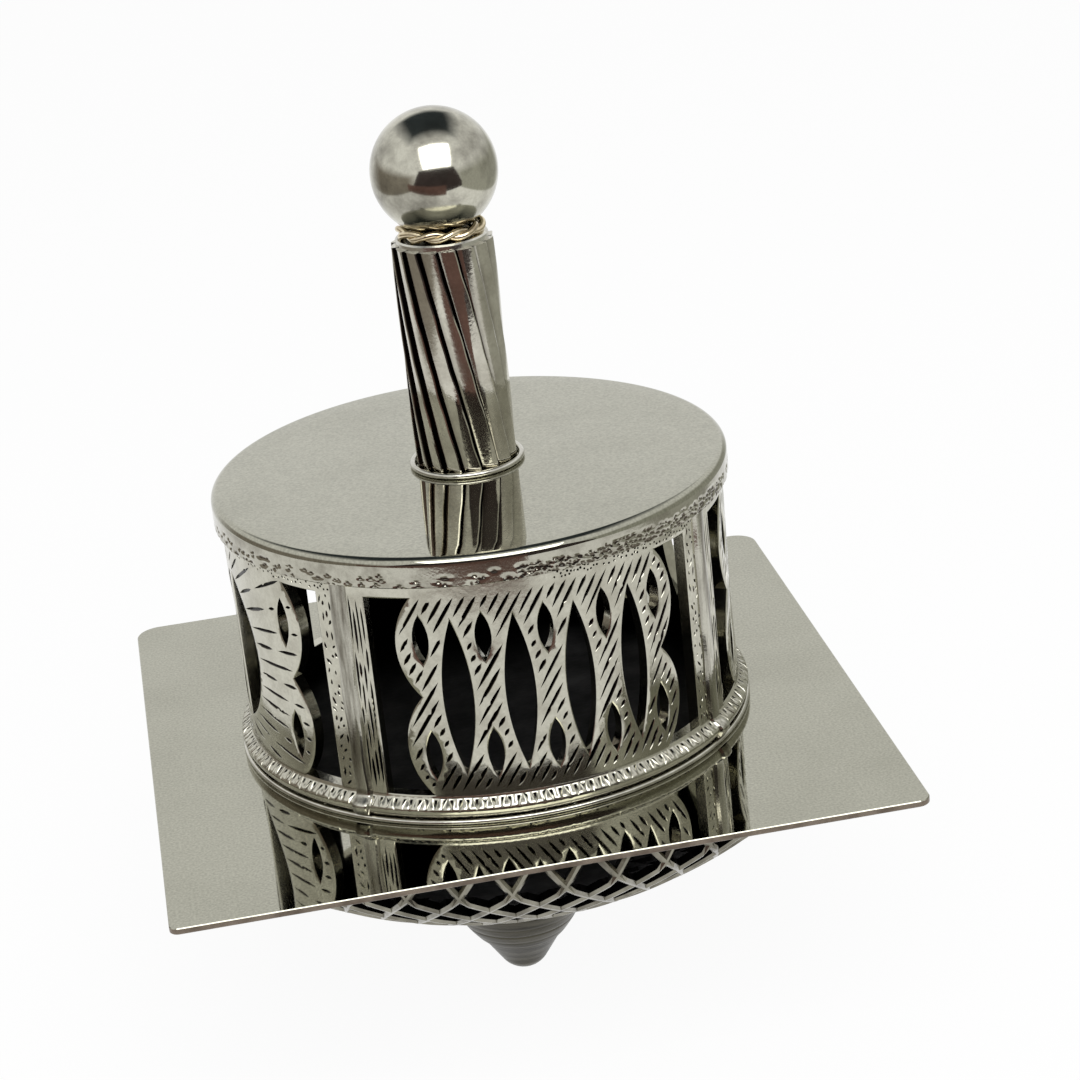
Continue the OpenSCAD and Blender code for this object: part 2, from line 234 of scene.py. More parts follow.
def inside(spots, loop):
    """Which of the flat spots lie inside a closed loop."""
    a, b = loop, np.roll(loop, -1, 0)
    x, y = spots[:, :1], spots[:, 1:]
    rise = np.where(b[:, 1] == a[:, 1], 1e-12, b[:, 1] - a[:, 1])
    crossing = ((a[:, 1] > y) != (b[:, 1] > y)) & (x < (b[:, 0] - a[:, 0]) * (y - a[:, 1]) / rise + a[:, 0])
    return crossing.sum(1) % 2 == 1


def parted(loop, step):
    """A closed loop with points no further apart than step."""
    out = []
    for p, q in zip(loop, np.roll(loop, -1, 0)):
        parts = max(1, math.ceil(np.linalg.norm(q - p) / step))
        out += [p + (q - p) * i / parts for i in range(parts)]
    return np.array(out)


def widened(loop, by):
    """A closed loop moved outwards by a width, with its corners kept short."""
    sharpest = 0.55
    before, after = loop - np.roll(loop, 1, 0), np.roll(loop, -1, 0) - loop
    area = (loop[:, 0] * np.roll(loop[:, 1], -1) - loop[:, 1] * np.roll(loop[:, 0], -1)).sum()
    turn = 1 if area > 0 else -1
    n1, n2 = (turn * np.stack([e[:, 1], -e[:, 0]], 1) / np.linalg.norm(e, axis=1)[:, None]
              for e in (before, after))
    middle = n1 + n2
    middle /= np.maximum(np.linalg.norm(middle, axis=1), 1e-9)[:, None]
    stretch = 1 / np.maximum((middle * n1).sum(1), sharpest)
    return loop + middle * (by * stretch)[:, None]


def triangles(chains, fill):
    """Flat triangles that keep to the chains, each (points, closed), and take in the fill.
    Returns points, triangles and the ids of each chain's points."""
    weld = 1e-5
    spots, edges, ids = [], [], []
    for chain, closed in chains:
        own = list(range(len(spots), len(spots) + len(chain)))
        spots += [Vector(p) for p in chain]
        edges += list(zip(own, own[1:] + (own[:1] if closed else [])))
        ids.append(own)
    spots += [Vector(p) for p in fill]
    flat, _, faces, origin, _, _ = geometry.delaunay_2d_cdt(spots, edges, [], 0, weld)
    became = {old: new for new, olds in enumerate(origin) for old in olds}
    return np.array([tuple(p) for p in flat]), np.array(faces), [[became[i] for i in own] for own in ids]


def without(flat, faces, holes):
    """The triangles that lie in none of the holes."""
    middle = flat[faces].mean(1)
    kept = np.ones(len(faces), bool)
    for hole in holes:
        near = ((middle > hole.min(0)) & (middle < hole.max(0))).all(1)
        near[near] = inside(middle[near], hole)
        kept &= ~near
    return faces[kept]


def pierced_sheet(edge, holes, marks, fill, face, back, rim_w, rim_drop, walls=0):
    """A sheet with pierced holes, each a (front loop, back loop), and marks, each an (outline, floor,
    depth). Face and back put flat spots on the front and on the back; the rims of the holes are filed
    round. Returns points, faces, the finish of each face (0 front, 1 back, walls for the sawn edges)
    and the groove share of each point."""
    back_thinning = 3
    fronts, backs = [f for f, _ in holes], [b for _, b in holes]
    chains = [(edge, True)] + [(f, True) for f in fronts] + [(widened(f, rim_w), True) for f in fronts]
    depths = [0] + [rim_drop] * len(fronts) + [0] * len(fronts)
    for outline, floor, deep in marks:
        chains += [(outline, True), (floor, False)]
        depths += [0, deep]
    flat, tris, ids = triangles(chains, fill)
    tris = without(flat, tris, fronts)
    deep, cut = np.zeros(len(flat)), np.zeros(len(flat))
    first_mark = 1 + 2 * len(fronts)
    for k, (own, depth) in enumerate(zip(ids, depths)):
        deep[own] = depth
        if k >= first_mark and depth:
            cut[own] = 1
    flat_b, tris_b, ids_b = triangles([(edge, True)] + [(b, True) for b in backs], fill[::back_thinning])
    tris_b = without(flat_b, tris_b, backs)
    points = np.concatenate([face(flat, deep), back(flat_b)])
    faces = tris.tolist() + (tris_b[:, ::-1] + len(flat)).tolist()
    which = [0] * len(tris) + [1] * len(tris_b)
    for k, (own, own_b) in enumerate(zip(ids, ids_b)):
        for i in range(len(own)):
            j = (i + 1) % len(own)
            faces.append((own[i], own[j], own_b[j] + len(flat), own_b[i] + len(flat)))
            which.append(walls if k else 0)
    return points, faces, which, np.concatenate([cut, np.zeros(len(flat_b))])


rim_at = dome_r * math.asin(dome_rim_r / dome_r)
under_border = dome_skirt_h - lattice_border


def on_dome(flat, deep):
    """Front of the dome: the distance from the axis is measured along the sheet."""
    along, turn = np.hypot(*flat.T), np.arctan2(flat[:, 1], flat[:, 0])
    bend = np.minimum(along, rim_at) / dome_r
    upright = along > rim_at + 1e-6
    r = dome_r * np.sin(bend) - deep * np.where(upright, 1, np.sin(bend))
    z = dome_z - dome_r * np.cos(bend) + np.maximum(along - rim_at, 0)
    z += deep * np.where(upright, 0, np.cos(bend))
    return np.stack([r * np.cos(turn), r * np.sin(turn), z], 1)


def in_dome(flat):
    """Back of the dome's sheet."""
    along, turn = np.hypot(*flat.T), np.arctan2(flat[:, 1], flat[:, 0])
    bend = np.minimum(along, rim_at) / dome_r
    r = np.minimum((dome_r - dome_t) * np.sin(bend), dome_rim_r - dome_t)
    reach = np.where(along < rim_at - dome_t / 2, dome_r - dome_t, dome_r)
    z = dome_z - reach * np.cos(bend)
    return np.stack([r * np.cos(turn), r * np.sin(turn), z + np.maximum(along - rim_at, 0)], 1)


def ring(r, steps):
    """A flat circle."""
    a = np.arange(steps) * 2 * np.pi / steps
    return np.stack([r * np.cos(a), r * np.sin(a)], 1)


def diamond(along, turn, r, shape):
    """An opening of the lattice at a distance along the sheet, from (along, across) offsets."""
    loop = parted(np.array(shape, float), saw_step)
    s, a = along + loop[:, 0], turn + loop[:, 1] / r
    return np.stack([s * np.cos(a), s * np.sin(a)], 1)


dome_holes = [ring(dome_r * math.asin((tip_spigot_r + solder_gap) / dome_r), spigot_sides)]
for row in range(-1, lattice_rows):
    along = rim_at if row < 0 else rim_at - lattice_first - row * lattice_pitch
    r = dome_r * math.sin(along / dome_r)
    half = math.pi * r / lattice_cells
    narrow = 1 - lattice_bar / 2 * math.hypot(half, lattice_pitch) / (half * lattice_pitch)
    high, wide = lattice_pitch * narrow, half * narrow
    shape = [(-high, 0), (0, wide), (high, 0), (0, -wide)]
    if row < 0:
        # The row in the bend is cut short by the plain border of the rim
        shape = [(-bend_foot, 0), (bend_mid, bend_wide), (under_border, bend_head),
                 (under_border, -bend_head), (bend_mid, -bend_wide)]
    for cell in range(lattice_cells):
        turn = 2 * math.pi * (cell + (row % 2) / 2) / lattice_cells + lattice_turn
        dome_holes.append(diamond(along, turn, r, shape))
        if row < 0:
            dome_holes.append(diamond(along, turn + half / r, r, [(point_foot, 0), (under_border, point_wide),
                                                                  (under_border, -point_wide)]))
dome_fill = np.concatenate([ring(s, centre_sides) for s in np.arange(centre_from, centre_to, centre_step)])
# Sawn and filed sheet: a satin shine on the ribs, clouded with a darker grey; its whole tone is set darker
# than the plate's, as painted shade under the plate
filed_sheet = silver("sheet_silver_filed", "#908d80", "#635f55", 0.24, 0.06, 0.25, 0.01, cloud_mm=2.0)
# Fire-blackened silver: near black, with a faint gloss
oxide = silver("silver_oxide_black", "#100f0e", "#090808", 0.6, 0.1, 0.5, 0.02, cloud_mm=4.0)
points, faces, which, _ = pierced_sheet(
    ring(rim_at + dome_skirt_h, rim_sides), [(h, h) for h in dome_holes], [], dome_fill, on_dome, in_dome,
    dome_file_w, dome_file_drop, walls=1)
piece("dome_pierced", "dome_lattice", "lattice_sheet", points, faces, [filed_sheet, oxide], which)

# Square plate: rolled silver sheet, cut square with soft corners and polished to a
# mirror. The drum is soldered on it and the dome below it; the discs that they close
# off stay black.
plate_side, plate_t, plate_top_z = 56.4, 0.5, 24.0
# Corners were filed by eye: back right, back left, front left, front right
plate_corners = (2.0, 2.0, 0.7, 1.0)
edge_round, corner_steps, disc_sides = 0.06, 12, 144
wall_in_r = 18.8


def rounded_square(side, corners):
    """A flat square with a rounding of its own at each corner."""
    loop = []
    for quarter, (r, sx, sy) in enumerate(zip(corners, (1, -1, -1, 1), (1, 1, -1, -1))):
        for a in np.linspace(quarter, quarter + 1, corner_steps + 1) * math.pi / 2:
            loop.append(((side / 2 - r) * sx + r * math.cos(a), (side / 2 - r) * sy + r * math.sin(a)))
    return np.array(loop)


outline = rounded_square(plate_side, plate_corners)
inset = rounded_square(plate_side - 2 * edge_round, [r - edge_round for r in plate_corners])
loops = [(inset, plate_top_z), (outline, plate_top_z - edge_round),
         (outline, plate_top_z - plate_t + edge_round), (inset, plate_top_z - plate_t)]
points = [(x, y, z) for loop, z in loops for x, y in loop]
rows = [range(k, k + len(outline)) for k in range(0, len(points), len(outline))]
faces = skin(rows)
which = np.repeat([0, 2, 2], len(outline)).tolist()
for k, closed_off in ((0, wall_in_r), (-1, dome_rim_r - dome_t)):
    circle = ring(closed_off, disc_sides)
    flat, tris, ids = triangles([(inset, True), (circle, True)], [])
    new = dict(zip(ids[0], rows[k]))
    for i, p in enumerate(flat):
        if i not in new:
            new[i] = len(points)
            points.append((p[0], p[1], loops[k][1]))
    dark = inside(flat[tris].mean(1), circle)
    faces += [[new[i] for i in t] for t in tris.tolist()]
    which += dark.astype(int).tolist()
# Mirror-polished rolled sheet: a clear reflection under a fine even grain
mirror_sheet = silver("sheet_silver_polished", "#a7a698", "#a09f91", 0.035, 0.012, 0.2, 0.0002, cloud_mm=9.0,
                      speck=0.16)
# Sheared edge of the sheet: brownish, and only rubbed smooth
sheared_edge = silver("sheet_silver_sheared", "#82776b", "#5c5248", 0.3, 0.06, 0.2, 0.01, cloud_mm=2.0)
piece("plate_polished", "square_plate", "polished_sheet", points, faces, [mirror_sheet, oxide, sheared_edge],
      which)

# Drum panels: four plaques of silver sheet, bent to a quarter of the drum, saw-pierced with
# a frieze of leaves between two side slots, and cut with a graver: slanting hatch on the
# ground, strokes and punch marks on the posts, and a row of teeth round the swelled foot.
drum_r, drum_turn, wall_high = 19.8, 6.2, 20.9
foot_h, foot_proud, foot_peak, foot_tuck = 2.0, 0.8, 0.6, 0.95
panel_gap, post_w, slot_w = 0.06, 4.2, 2.15
opening_low, opening_high = 2.1, 18.2
lobe_r, lobe_drop, lobe_rise = 6.0, 3.9, 4.1
leaf_len, leaf_sum, leaf_rib, ribbed_count = 12.6, 9.2, 0.9, 2
frieze_w, bud_len, bud_w, bud_lift = 18.7, 4.0, 1.25, 4.7
panel_file_w, panel_file_drop = 0.1, 0.06
fret_step, leaf_step, leaf_fewest, lobe_steps, rim_step = 0.6, 0.45, 9, 22, 0.15
frieze_at = (opening_low + opening_high) / 2
slot_out = math.pi / 4 - post_w / 2 / drum_r
lobe_edge = slot_out - slot_w / drum_r
panel_half = math.pi / 4 * drum_r - panel_gap / 2
rng = np.random.default_rng(18)


def foot_swell(y):
    """How far the wall stands out at a height above the plate."""
    t = np.clip(y / foot_h, 0, 1)
    low = 1 - foot_tuck * ((foot_peak - t) / foot_peak) ** 2
    high = np.cos(np.pi / 2 * (t - foot_peak) / (1 - foot_peak)) ** 2
    return foot_proud * np.where(t < foot_peak, low, high)


def pierced_wall(outline_mm, angle):
    """A hole's front and back loops, driven straight through the wall at an angle."""
    x, y = outline_mm.T
    return [np.stack([drum_r * (angle + np.arcsin(x / r)), y], 1) for r in (drum_r, wall_in_r)]


def leaf(length, width, middle, rib=0.0):
    """Outline of a pointed leaf, or of its right half beside a rib."""
    arc_r = (length ** 2 + width ** 2) / (4 * width)
    top = math.sqrt(arc_r ** 2 - (arc_r - width / 2 + rib / 2) ** 2)
    y = np.linspace(-top, top, max(leaf_fewest, int(2 * top / leaf_step)))
    x = np.sqrt(arc_r ** 2 - y ** 2) - (arc_r - width / 2)
    if rib:
        return parted(np.stack([x, y + middle], 1), fret_step)
    return np.concatenate([np.stack([x, y + middle], 1), np.stack([-x, y + middle], 1)[-2:0:-1]])


def side_slot():
    """Outline of the right slot, between the post and the two lobes of the cartouche."""
    mid = (slot_out + lobe_edge) / 2
    out_x = drum_r * math.sin(slot_out - mid)
    lobe_x = drum_r * math.sin(lobe_edge - mid) - lobe_r
    centres = (opening_high - lobe_drop, opening_low + lobe_rise)
    notch = sum(centres) / 2
    upper = np.linspace(opening_high, notch, lobe_steps)
    lower = np.linspace(notch, opening_low, lobe_steps)[1:]
    curve = [(lobe_x + math.sqrt(lobe_r ** 2 - (y - c) ** 2), y)
             for c, ys in zip(centres, (upper, lower)) for y in ys]
    return parted(np.array([(out_x, opening_low), (out_x, opening_high)] + curve), fret_step), mid


def panel_holes(count):
    """The side slots, leaves and buds of one side, each a (front loop, back loop)."""
    slot, mid = side_slot()
    holes = [pierced_wall(slot, mid), pierced_wall(slot * (-1, 1), -mid)]
    pitch = frieze_w / count / drum_r
    for i in range(count):
        at = (i - (count - 1) / 2) * pitch
        if count <= ribbed_count:
            half = leaf(leaf_len, leaf_sum / count, frieze_at, leaf_rib)
            holes += [pierced_wall(half, at), pierced_wall(half * (-1, 1), at)]
        else:
            holes.append(pierced_wall(leaf(leaf_len, leaf_sum / count, frieze_at), at))
    for i in range(count + 1):
        for lift in (-bud_lift, bud_lift):
            holes.append(pierced_wall(leaf(bud_len, bud_w, frieze_at + lift), (i - count / 2) * pitch))
    return holes


def stroke(start, end, width, deep):
    """A cut of the graver: a pointed outline and its sunk floor."""
    spacing, entry, exit_share = 0.55, 0.34, 0.22
    start, end = np.array(start), np.array(end)
    long = np.linalg.norm(end - start)
    d = (end - start) / long
    n = np.array([-d[1], d[0]])
    spots = np.linspace(0, long, max(4, int(long / spacing) + 2))
    taper = np.minimum(spots / (entry * long), (long - spots) / (exit_share * long))
    half = width / 2 * np.minimum(1, taper)[1:-1]
    body = start + spots[1:-1, None] * d
    one, other = body + n * half[:, None], body - n * half[:, None]
    return np.concatenate([[start], other, [end], one[::-1]]), body, deep


def clear_runs(start, d, long, test):
    """Stretches of a line, as pairs of distances, where test holds."""
    step = 0.05
    t = np.arange(0, long, step)
    good = np.concatenate([[False], test(start + t[:, None] * d), [False]]).astype(int)
    begins, ends = np.flatnonzero(np.diff(good) == 1), np.flatnonzero(np.diff(good) == -1)
    return [(t[a], t[b - 1]) for a, b in zip(begins, ends)]


# Hatch: its band, the bare margin round each hole, and its slanting lines or, on one side, its fan.
# Along a line come cuts and gaps, whose sizes are (least, most).
hatch_low, hatch_high, hatch_margin = 2.4, 18.3, 0.24
hatch_pitch, hatch_lean, hatch_foot, hatch_reach = 0.84, math.radians(57), 2.2, 20.5
hatch_from, hatch_to = -27, 15
fan_pitch, fan_from, fan_to, fan_reach = 0.95, -2, 24, 15.5
fan_heights, fan_tilts = (2, 8, 12, 19), (-14, -4, 8, 58)
least_cut, most_cut, cut_trim = 0.5, 5.2, 0.08
cut_len, cut_gap, cut_w, cut_deep = (2.6, 4.2), (0.35, 0.6), (0.26, 0.34), (0.12, 0.17)


def hatch_lines(fan):
    """Lines that the graver follows on the ground, as (start, direction, length)."""
    lines = []
    if fan:
        for y in np.arange(fan_from, fan_to, fan_pitch):
            tilt = math.radians(np.interp(y, fan_heights, fan_tilts))
            for hand in (-1, 1):
                lines.append((np.array([0, y]), np.array([hand * math.cos(tilt), math.sin(tilt)]), fan_reach))
    else:
        slant = np.array([math.cos(hatch_lean), math.sin(hatch_lean)])
        for x in np.arange(hatch_from, hatch_to, hatch_pitch):
            lines.append((np.array([x, hatch_foot]), slant, hatch_reach))
    return lines


def hatch_cuts(holes, rims, fan):
    """Cuts of the graver along the lines of the hatch, clear of each hole."""
    def open_ground(spots):
        away = np.sqrt(((spots[:, None] - rims[None]) ** 2).sum(2)).min(1) > hatch_margin
        x, y = spots.T
        away &= (np.abs(x) < slot_out * drum_r) & (y > hatch_low) & (y < hatch_high)
        for f, _ in holes:
            away &= ~inside(spots, f)
        return away

    cuts = []
    for start, d, long in hatch_lines(fan):
        for a, b in clear_runs(start, d, long, open_ground):
            while b - a > least_cut:
                upto = b if b - a < most_cut else a + rng.uniform(*cut_len)
                trim = rng.uniform(0, cut_trim, 2)
                p, q = start + d * (a + trim[0]), start + d * (upto - trim[1])
                cuts.append(stroke(p, q, rng.uniform(*cut_w), rng.uniform(*cut_deep)))
                a = upto + rng.uniform(*cut_gap)
    return cuts


# Left half post: rows of long cuts, by their distance from the panel's middle
long_rows, long_start, long_last, long_lean = (13.72, 14.06, 14.4, 14.7), (0, 0.8), 17.6, (-0.07, 0.07)
long_len, long_gap, long_w, long_deep = (1.2, 5.0), (0.2, 0.5), (0.16, 0.25), (0.09, 0.14)


def long_post_cuts():
    """Long strokes of a flat graver down the left half post."""
    cuts = []
    for x in long_rows:
        y = hatch_low + rng.uniform(*long_start)
        while y < long_last:
            long = rng.uniform(*long_len)
            lean = rng.uniform(*long_lean)
            cuts.append(stroke((-x - lean / 2, y), (-x + lean / 2, min(y + long, hatch_high)),
                               rng.uniform(*long_w), rng.uniform(*long_deep)))
            y += long + rng.uniform(*long_gap)
    return cuts


# Right half post: where its crooked cuts may lie and end, how far apart they stay, and their sizes
crook_tries, crook_x, crook_y, crook_edges, crook_apart = 900, (13.7, 14.72), (2.5, 18.2), (13.62, 14.8), 0.28
crook_lean, crook_len, crook_w, crook_deep = (0.7, 2.4), (0.3, 0.95), (0.15, 0.25), (0.09, 0.15)


def crooked_post_cuts():
    """Crooked cuts that crowd the right half post, each clear of the others."""
    cuts, bodies = [], []
    for x, y in zip(rng.uniform(*crook_x, crook_tries), rng.uniform(*crook_y, crook_tries)):
        lean, long = rng.uniform(*crook_lean), rng.uniform(*crook_len)
        reach = long / 2 * np.array([math.cos(lean), math.sin(lean)])
        body = np.array([x, y]) + np.linspace(-1, 1, 5)[:, None] * reach
        if body[:, 0].min() < crook_edges[0] or body[:, 0].max() > crook_edges[1]:
            continue
        if any(((body[:, None] - other) ** 2).sum(2).min() < crook_apart ** 2 for other in bodies):
            continue
        bodies.append(body)
        cuts.append(stroke(body[0], body[-1], rng.uniform(*crook_w), rng.uniform(*crook_deep)))
    return cuts


# Teeth on the upper slope of the foot, from the lowest point up
tooth_from, tooth_to, tooth_pitch, tooth_half = -14.6, 14.7, 0.62, 0.27
tooth_low, tooth_stray, tooth_floor, tooth_high, tooth_deep = 1.2, (-0.05, 0.05), 1.66, 1.88, 0.2


def foot_teeth():
    """Punched teeth round the foot."""
    teeth = []
    for x in np.arange(tooth_from, tooth_to, tooth_pitch):
        low = tooth_low + rng.uniform(*tooth_stray)
        teeth.append((np.array([(x - tooth_half, tooth_high), (x, low), (x + tooth_half, tooth_high)]),
                      np.array([(x, tooth_floor)]), tooth_deep))
    return teeth


# Punch dots along the lower edge of the foot, and at the right under the cover: tries, x and y
dot_bands = ((130, (-14.6, 14.6), (0.24, 0.56)), (240, (1.0, 14.75), (18.5, 19.1)))
dot_apart, dot_r, dot_deep, dot_turn, dot_sides = 0.25, (0.09, 0.12), (0.07, 0.12), (0, 1.5), 6


def punch_dots():
    """Dots of a round punch, none of which touch."""
    dots, places = [], []
    for tries, across, up in dot_bands:
        for x, y in zip(rng.uniform(*across, tries), rng.uniform(*up, tries)):
            if any((x - u) ** 2 + (y - v) ** 2 < dot_apart ** 2 for u, v in places):
                continue
            places.append((x, y))
            turn, size = rng.uniform(*dot_turn), rng.uniform(*dot_r)
            corner = turn + np.arange(dot_sides) * 2 * np.pi / dot_sides
            outline = np.array([x, y]) + size * np.stack([np.cos(corner), np.sin(corner)], 1)
            dots.append((outline, np.array([(x, y)]), rng.uniform(*dot_deep)))
    return dots


# Spots that carry the bend of the wall, on the foot and above it: lowest, upper limit, rise, spacing
# across, and how far they stay from a cut
fill_bands = ((0.12, foot_h + 0.2, 0.12, 0.24, 0.1), (foot_h + 0.4, wall_high, 0.5, 0.45, 0.2))
edge_across, edge_foot, edge_wall = 71, 15, 30


def panel_fill(holes, rims, marks):
    """Spots between the cuts and holes of a panel."""
    taken = np.concatenate([rims] + [outline for outline, _, _ in marks])
    fill = []
    for low, high, rise, step, apart in fill_bands:
        grid = np.array([(x, y) for y in np.arange(low, high, rise)
                         for x in np.arange(-panel_half + step, panel_half, step)])
        fill.append(grid[[((taken - p) ** 2).sum(1).min() > apart ** 2 for p in grid]])
    fill = np.concatenate(fill)
    return fill[~np.any([inside(fill, f) for f, _ in holes], 0)]


def panel_edge():
    """Outline of a panel, with points enough to follow the bend and the swell of the foot."""
    across = np.linspace(-panel_half, panel_half, edge_across)
    up = np.concatenate([np.linspace(0, foot_h, edge_foot), np.linspace(foot_h, wall_high, edge_wall)[1:]])
    return np.array([(x, 0) for x in across] + [(panel_half, y) for y in up[1:]]
                    + [(x, wall_high) for x in across[-2::-1]] + [(-panel_half, y) for y in up[-2:0:-1]])


def engraved_panel(name, side, count, fan):
    """One side of the drum with a count of leaves. With fan, its hatch spreads like a fan."""
    holes = panel_holes(count)
    rims = np.concatenate([parted(f, rim_step) for f, _ in holes])
    marks = hatch_cuts(holes, rims, fan) + long_post_cuts() + crooked_post_cuts()
    marks += foot_teeth() + punch_dots()
    about = math.radians(drum_turn + 90 * side)

    def front(flat, deep):
        a, r = flat[:, 0] / drum_r + about, drum_r + foot_swell(flat[:, 1]) - deep
        return np.stack([r * np.sin(a), -r * np.cos(a), plate_top_z + flat[:, 1]], 1)

    def rear(flat):
        a = flat[:, 0] / drum_r + about
        return np.stack([wall_in_r * np.sin(a), -wall_in_r * np.cos(a), plate_top_z + flat[:, 1]], 1)

    points, faces, which, groove = pierced_sheet(panel_edge(), holes, marks, panel_fill(holes, rims, marks),
                                                 front, rear, panel_file_w, panel_file_drop)
    piece(name + "_engraved", name, "engraved_panel", points, faces, [engraved, oxide], which, groove)


# Hand-engraved sheet: satin between the cuts, bright along their edges, with painted shade, near black, in
# their floors
engraved = silver("sheet_silver_engraved", "#bfbdaf", "#a9a698", 0.15, 0.04, 0.3, 0.004, cloud_mm=2.2,
                  hollow_shade="#14110f")
panels = (("panel_front", 4), ("panel_right", 3), ("panel_back", 2), ("panel_left", 1))
for side, (name, count) in enumerate(panels):
    engraved_panel(name, side, count, fan=count == 1)

# Foot wire: thin silver wire, drawn, laid round the drum in its corner with the plate and run in
# with solder. It is rubbed bright.
foot_wire_r, foot_wire_steps = 0.2, 288


def wire(at, wire_r, z, sides=16):
    """Closed profile of a round wire lying on a level."""
    return [(at + wire_r * math.cos(a), z + wire_r * (1 + math.sin(a)))
            for a in np.arange(sides) * 2 * math.pi / sides]


# Drawn wire: bright and satin, faintly clouded
bright_wire = silver("wire_silver_drawn", "#cac8be", "#a9a69b", 0.16, 0.04, 0.2, 0.006, cloud_mm=1.8)
foot_wire = wire(drum_r + foot_proud - foot_wire_r + solder_gap, foot_wire_r, plate_top_z)
piece("foot_wire_drawn", "foot_wire", "drawn_wire", *turned(foot_wire, foot_wire_steps, True), [bright_wire])

# Seam strips: half-round silver strips soldered down the middle of each post, over the
# joint of two panels. They follow the swell of the foot, and handling keeps them bright.
strip_w, strip_proud, crown_power, crown_points = 1.4, 0.35, 2.6, 13
strip_low, strip_high = 2 * foot_wire_r + solder_gap, 19.15
strip_foot_rows, strip_rows = 18, 40
# Laid by hand: how far a strip sways sideways, what share of its width wavers, and how fast each turns
strip_sway, sway_pace, strip_waver, waver_pace = 0.05, 1.1, 0.04, 0.9
# Rubbed strip: bright, with long dark streaks down it that are painted shade along the curve of the strip
rubbed_strip = silver("strip_silver_rubbed", "#bcbaae", "#615c51", 0.13, 0.04, 0.2, 0.004, cloud_mm=0.8,
                      streak=(1.0, 1.0, 0.1))
across = np.linspace(-1, 1, crown_points)
crown = strip_proud * (1 - np.abs(across) ** crown_power) ** (1 / crown_power)
heights = np.concatenate([np.linspace(strip_low, foot_h, strip_foot_rows),
                          np.linspace(foot_h, strip_high, strip_rows)[1:]])
section = [*range(crown_points), *range(2 * crown_points - 1, crown_points - 1, -1)]
rows = [[k * len(section) + u for u in section] for k in range(len(heights))]
faces = skin(rows) + [rows[0], rows[-1][::-1]]
for number, name in enumerate(("seam_strip_front_right", "seam_strip_back_right",
                               "seam_strip_back_left", "seam_strip_front_left")):
    about = math.radians(drum_turn + 90 * (number + 0.5))
    points = []
    for y in heights:
        shift = strip_sway * math.sin(sway_pace * y + 2 * number)
        half = strip_w / 2 * (1 - strip_waver * math.sin(waver_pace * y + number))
        for lift in (crown, np.zeros(crown_points)):
            for t, h in zip(across, lift):
                a = about + (t * half + shift) / drum_r
                r = drum_r + float(foot_swell(y)) + h
                points.append((r * math.sin(a), -r * math.cos(a), plate_top_z + y))
    piece(name + "_half_round", name, "drawn_wire", points, faces, [rubbed_strip])

# Cover: a disc of silver sheet with its edge turned down over the drum. The top is polished
# to a mirror; the turned edge still shows where it was dressed with a punch.
cover_top, cover_t, cover_rim_t, cover_rim_h, cover_edge_r = 45.5, 0.6, 0.45, 2.3, 0.6
cover_fit, rim_ease, band_slack = 0.1, 0.08, 0.02
cover_steps, cover_edge_rows, cover_rim_rows, cover_rings = 1440, 13, 26, (5.0, 10.0, 15.0, 18.0)
# Dents of the punch: how high the dressed band is, and the dents' depth, count, sizes and lengths.
# Half are kept to the right of the front, where the photograph shows the most; angles in degrees.
band_high, dent_deep, dent_count, dent_r, dent_long = 1.25, 0.1, 620, (0.09, 0.17), (1, 2.6)
dent_rise, dent_crowding, dressed_share, dressed_part, all_round = 1.1, 1.3, 0.5, (2, 62), (-180, 180)
# How fast painted shade builds up in the bottom of a dent, and how much is taken off before it starts
dent_shade_gain, dent_shade_start = 1.4, 0.75
cover_r = drum_r + cover_fit + cover_rim_t
rim_low = cover_top - cover_rim_h
profile = [(0.0, cover_top)] + [(r, cover_top) for r in cover_rings]
profile += [(cover_r + cover_edge_r * (math.cos(a) - 1), cover_top + cover_edge_r * (math.sin(a) - 1))
            for a in np.linspace(math.pi / 2, 0, cover_edge_rows)]
polished_rows = len(profile) - 1
profile += [(cover_r, float(z))
            for z in np.linspace(cover_top - cover_edge_r, rim_low + rim_ease, cover_rim_rows)[1:]]
dressed_rows = len(profile) - polished_rows
underside = [(cover_r - rim_ease, rim_low), (cover_r - cover_rim_t, rim_low),
             (cover_r - cover_rim_t, cover_top - cover_t), (0.0, cover_top - cover_t)]
points, faces = turned(profile + underside, cover_steps)
which = np.repeat([0] * polished_rows + [1] * dressed_rows + [2] * (len(underside) - 1), cover_steps)
points = np.array(points)
outermost = np.hypot(points[:, 0], points[:, 1]) > cover_r - band_slack
band = np.flatnonzero(outermost & (points[:, 2] < rim_low + band_high))
around = np.arctan2(points[band, 0], -points[band, 1]) * cover_r
punch, lap = np.zeros(len(band)), 2 * math.pi * cover_r
for _ in range(dent_count):
    part = dressed_part if rng.uniform() < dressed_share else all_round
    at = math.radians(rng.uniform(*part)) * cover_r
    level = rim_low + dent_rise * rng.uniform(0, 1) ** dent_crowding
    size, long = rng.uniform(*dent_r), rng.uniform(*dent_long)
    off = np.hypot(((around - at + lap / 2) % lap - lap / 2) / long, points[band, 2] - level)
    punch = np.maximum(punch, np.exp(-(off / size) ** 2))
points[band, :2] *= (1 - dent_deep * punch / cover_r)[:, None]
# Painted shade in the bottom of each dent, darkest where the punch went deepest
groove = np.zeros(len(points))
groove[band] = np.clip(dent_shade_gain * punch - dent_shade_start, 0, 1)
# Sheet dressed with a punch: bright between the dents, and painted shade in the bottom of each
dressed_rim = silver("sheet_silver_dressed", "#b4b2a5", "#8a867a", 0.1, 0.03, 0.2, 0.003, cloud_mm=2.0,
                     hollow_shade="#5d564c")
piece("cover_polished", "top_cover", "polished_sheet", points, faces, [mirror_sheet, dressed_rim, oxide],
      which, groove)

